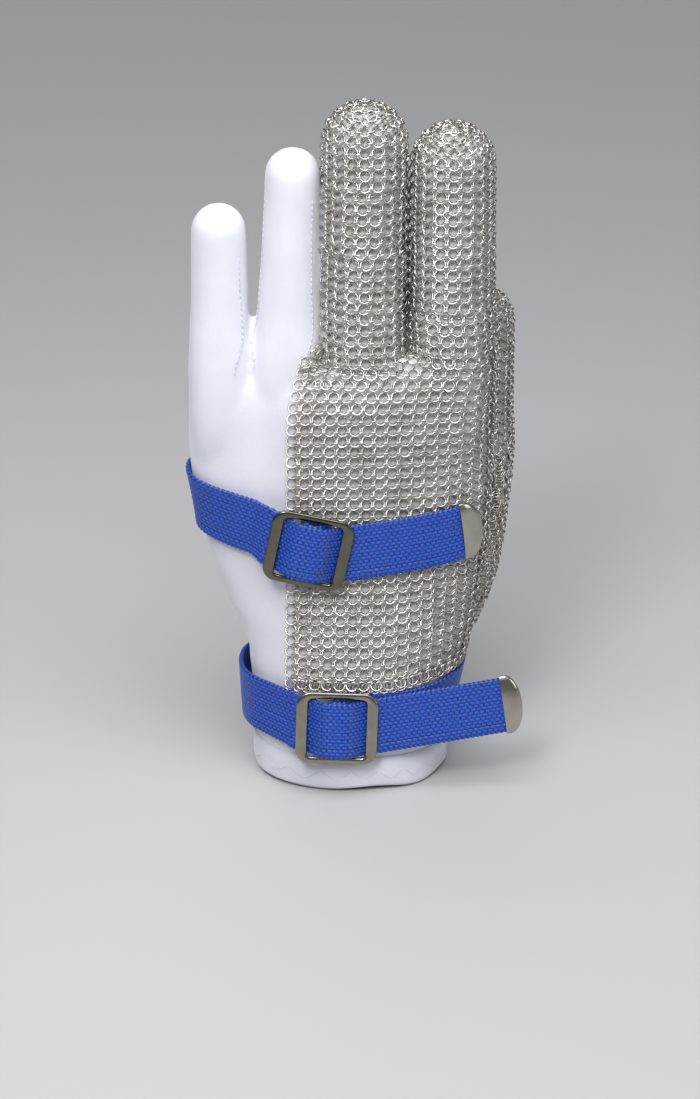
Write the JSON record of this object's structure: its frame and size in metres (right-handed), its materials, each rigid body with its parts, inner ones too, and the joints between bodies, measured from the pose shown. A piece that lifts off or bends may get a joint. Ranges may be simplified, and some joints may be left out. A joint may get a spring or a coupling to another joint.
{
  "type": "cut resistant glove",
  "caption": "Ring-mesh protective glove for thumb, index and middle finger, worn over a thin fabric liner glove and held by webbing straps with slide buckles.",
  "frame": {"origin": "centre of the wrist opening, level with the lower edge of the liner's hem", "axes": "+Z towards the fingertips, -Y out of the back of the hand, +X towards the thumb"},
  "size_m": [0.1173, 0.0846, 0.24],
  "materials": {
    "liner_fabric": "thin smooth white knitted stretch fabric with a faint lavender tint",
    "liner_hem": "folded white hem with a zigzag stitch",
    "ring_mesh": "welded stainless wire rings, each through four others, bright where they catch the light",
    "webbing": "royal blue woven webbing with a brick-like weave and tight edges",
    "buckle_nickel": "polished nickel-plated steel",
    "tip_nickel": "satin nickel-plated steel, crimped on"
  },
  "bodies": {
    "hand": {"liner_hand": "liner_fabric", "liner_hem": "liner_hem", "mesh_back": "ring_mesh", "mesh_thumb_side": "ring_mesh", "mesh_palm": "ring_mesh", "liner_little_base": "liner_fabric", "liner_ring_base": "liner_fabric", "liner_middle_base": "liner_fabric", "mesh_middle_base": "ring_mesh", "liner_index_base": "liner_fabric", "mesh_index_base": "ring_mesh", "liner_thumb_base": "liner_fabric", "mesh_thumb_base": "ring_mesh", "hand_strap_wrap": "webbing", "hand_strap_anchor": "webbing", "hand_strap_pass": "webbing", "wrist_strap_wrap": "webbing", "wrist_strap_anchor": "webbing", "wrist_strap_pass": "webbing"},
    "little_lower": {"liner_little_lower": "liner_fabric", "liner_little_knuckle": "liner_fabric"},
    "little_tip": {"liner_little_tip": "liner_fabric"},
    "ring_lower": {"liner_ring_lower": "liner_fabric", "liner_ring_knuckle": "liner_fabric"},
    "ring_tip": {"liner_ring_tip": "liner_fabric"},
    "middle_lower": {"liner_middle_lower": "liner_fabric", "liner_middle_knuckle": "liner_fabric", "mesh_middle_lower": "ring_mesh", "mesh_middle_knuckle": "ring_mesh"},
    "middle_tip": {"liner_middle_tip": "liner_fabric", "mesh_middle_tip": "ring_mesh"},
    "index_lower": {"liner_index_lower": "liner_fabric", "liner_index_knuckle": "liner_fabric", "mesh_index_lower": "ring_mesh", "mesh_index_knuckle": "ring_mesh"},
    "index_tip": {"liner_index_tip": "liner_fabric", "mesh_index_tip": "ring_mesh"},
    "thumb_lower": {"liner_thumb_lower": "liner_fabric", "liner_thumb_knuckle": "liner_fabric", "mesh_thumb_lower": "ring_mesh", "mesh_thumb_knuckle": "ring_mesh"},
    "thumb_tip": {"liner_thumb_tip": "liner_fabric", "mesh_thumb_tip": "ring_mesh"},
    "hand_buckle": {"hand_buckle": "buckle_nickel"},
    "hand_strap_end": {"hand_strap_tail": "webbing", "hand_strap_tip": "tip_nickel"},
    "wrist_buckle": {"wrist_buckle": "buckle_nickel"},
    "wrist_strap_end": {"wrist_strap_tail": "webbing", "wrist_strap_tip": "tip_nickel"}
  },
  "joints": [
    {"name": "little_base_bend", "type": "hinge", "parent": "hand", "child": "little_lower", "pos_m": [-0.0436, 0, 0.15666], "axis": [-1, 0, 0], "range_deg": [0, 70], "deforming": ["liner_little_base"]},
    {"name": "little_tip_bend", "type": "hinge", "parent": "little_lower", "child": "little_tip", "pos_m": [-0.0436, 0, 0.1815], "axis": [-1, 0, 0], "range_deg": [0, 80], "deforming": ["liner_little_knuckle"]},
    {"name": "ring_base_bend", "type": "hinge", "parent": "hand", "child": "ring_lower", "pos_m": [-0.0196, 0, 0.16056], "axis": [-1, 0, 0], "range_deg": [0, 70], "deforming": ["liner_ring_base"]},
    {"name": "ring_tip_bend", "type": "hinge", "parent": "ring_lower", "child": "ring_tip", "pos_m": [-0.0196, 0, 0.192], "axis": [-1, 0, 0], "range_deg": [0, 80], "deforming": ["liner_ring_knuckle"]},
    {"name": "middle_base_bend", "type": "hinge", "parent": "hand", "child": "middle_lower", "pos_m": [0.0048, 0, 0.16755], "axis": [-1, 0, 0], "range_deg": [0, 70], "deforming": ["liner_middle_base", "mesh_middle_base"]},
    {"name": "middle_tip_bend", "type": "hinge", "parent": "middle_lower", "child": "middle_tip", "pos_m": [0.0048, 0, 0.2005], "axis": [-1, 0, 0], "range_deg": [0, 80], "deforming": ["liner_middle_knuckle", "mesh_middle_knuckle"]},
    {"name": "index_base_bend", "type": "hinge", "parent": "hand", "child": "index_lower", "pos_m": [0.0338, 0, 0.17206], "axis": [-1, 0, 0], "range_deg": [0, 70], "deforming": ["liner_index_base", "mesh_index_base"]},
    {"name": "index_tip_bend", "type": "hinge", "parent": "index_lower", "child": "index_tip", "pos_m": [0.0338, 0, 0.201], "axis": [-1, 0, 0], "range_deg": [0, 80], "deforming": ["liner_index_knuckle", "mesh_index_knuckle"]},
    {"name": "thumb_spread", "type": "hinge", "parent": "hand", "child": "thumb_lower", "pos_m": [0.0455, 0.032, 0.11592], "axis": [0, 1, 0], "range_deg": [-15, 30], "deforming": ["liner_thumb_base", "mesh_thumb_base"]},
    {"name": "thumb_tip_bend", "type": "hinge", "parent": "thumb_lower", "child": "thumb_tip", "pos_m": [0.0455, 0.032, 0.139], "axis": [0, 1, 0], "range_deg": [-50, 0], "deforming": ["liner_thumb_knuckle", "mesh_thumb_knuckle"]},
    {"name": "hand_buckle_tilt", "type": "hinge", "parent": "hand", "child": "hand_buckle", "pos_m": [-0.0142, -0.02362, 0.0892], "axis": [0.2079, 0.0765, 0.9752], "range_deg": [-7, 7], "deforming": ["hand_strap_pass"]},
    {"name": "hand_strap_end_lift", "type": "hinge", "parent": "hand", "child": "hand_strap_end", "pos_m": [0.00057, -0.02207, 0.08593], "axis": [-0.2079, -0.0765, -0.9752], "range_deg": [0, 80]},
    {"name": "wrist_buckle_tilt", "type": "hinge", "parent": "hand", "child": "wrist_buckle", "pos_m": [-0.0046, -0.03287, 0.0258], "axis": [0.0349, 0.1895, 0.9813], "range_deg": [-7, 7], "deforming": ["wrist_strap_pass"]},
    {"name": "wrist_strap_end_lift", "type": "hinge", "parent": "hand", "child": "wrist_strap_end", "pos_m": [0.01049, -0.0312, 0.02494], "axis": [-0.0349, -0.1895, -0.9813], "range_deg": [0, 80]}
  ]
}
